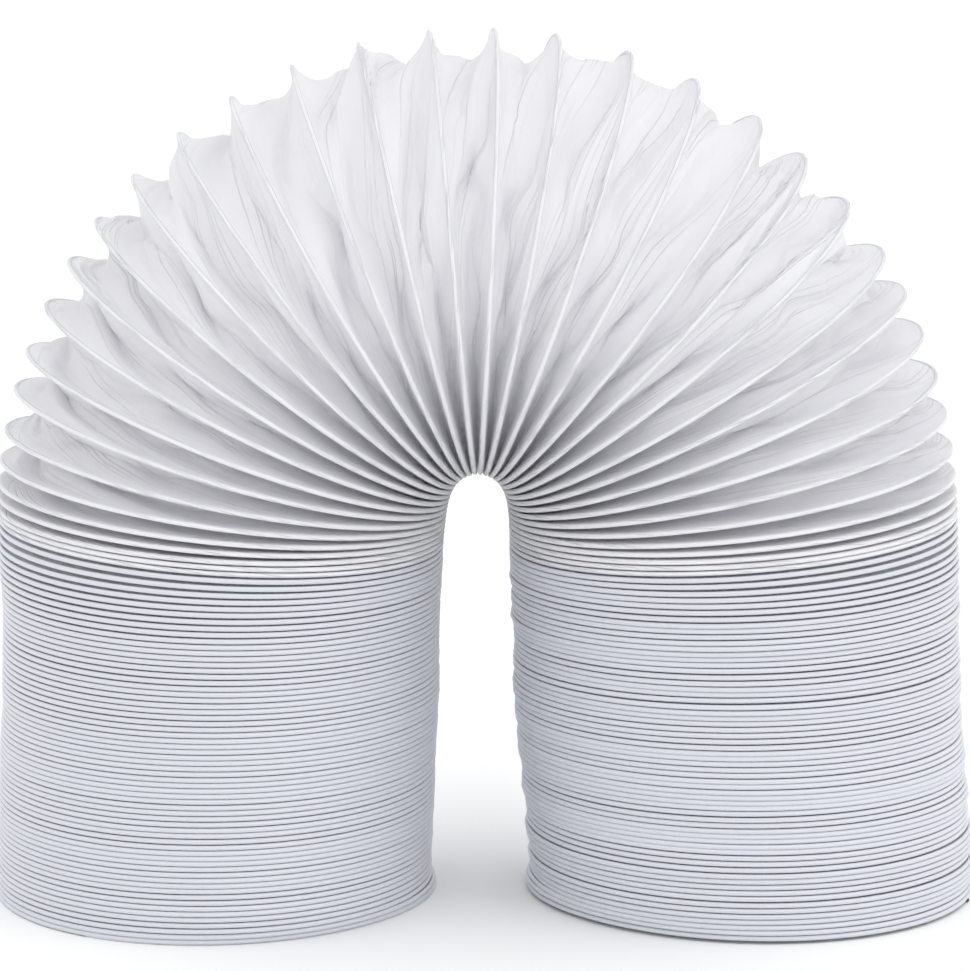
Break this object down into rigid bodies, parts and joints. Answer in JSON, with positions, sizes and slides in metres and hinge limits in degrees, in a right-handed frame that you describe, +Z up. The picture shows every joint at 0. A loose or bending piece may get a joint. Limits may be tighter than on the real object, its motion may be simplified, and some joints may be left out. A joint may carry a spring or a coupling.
{
  "type": "flexible exhaust duct",
  "caption": "Flexible white film duct on a coiled spring wire, pushed together and stood over in an arch on its two open ends; carries warm exhaust air.",
  "frame": {"origin": "on the floor, midway between the two feet, in the middle of the duct's width", "axes": "+X from the left leg to the right leg, +Y from the front to the back, +Z up through the crown"},
  "size_m": [0.3328, 0.15, 0.2924],
  "materials": {
    "film": "white soft PVC film with a satin sheen",
    "wire": "drawn spring steel wire"
  },
  "bodies": {
    "root": {"film_sleeve": "film", "wire_helix": "wire"}
  },
  "joints": []
}
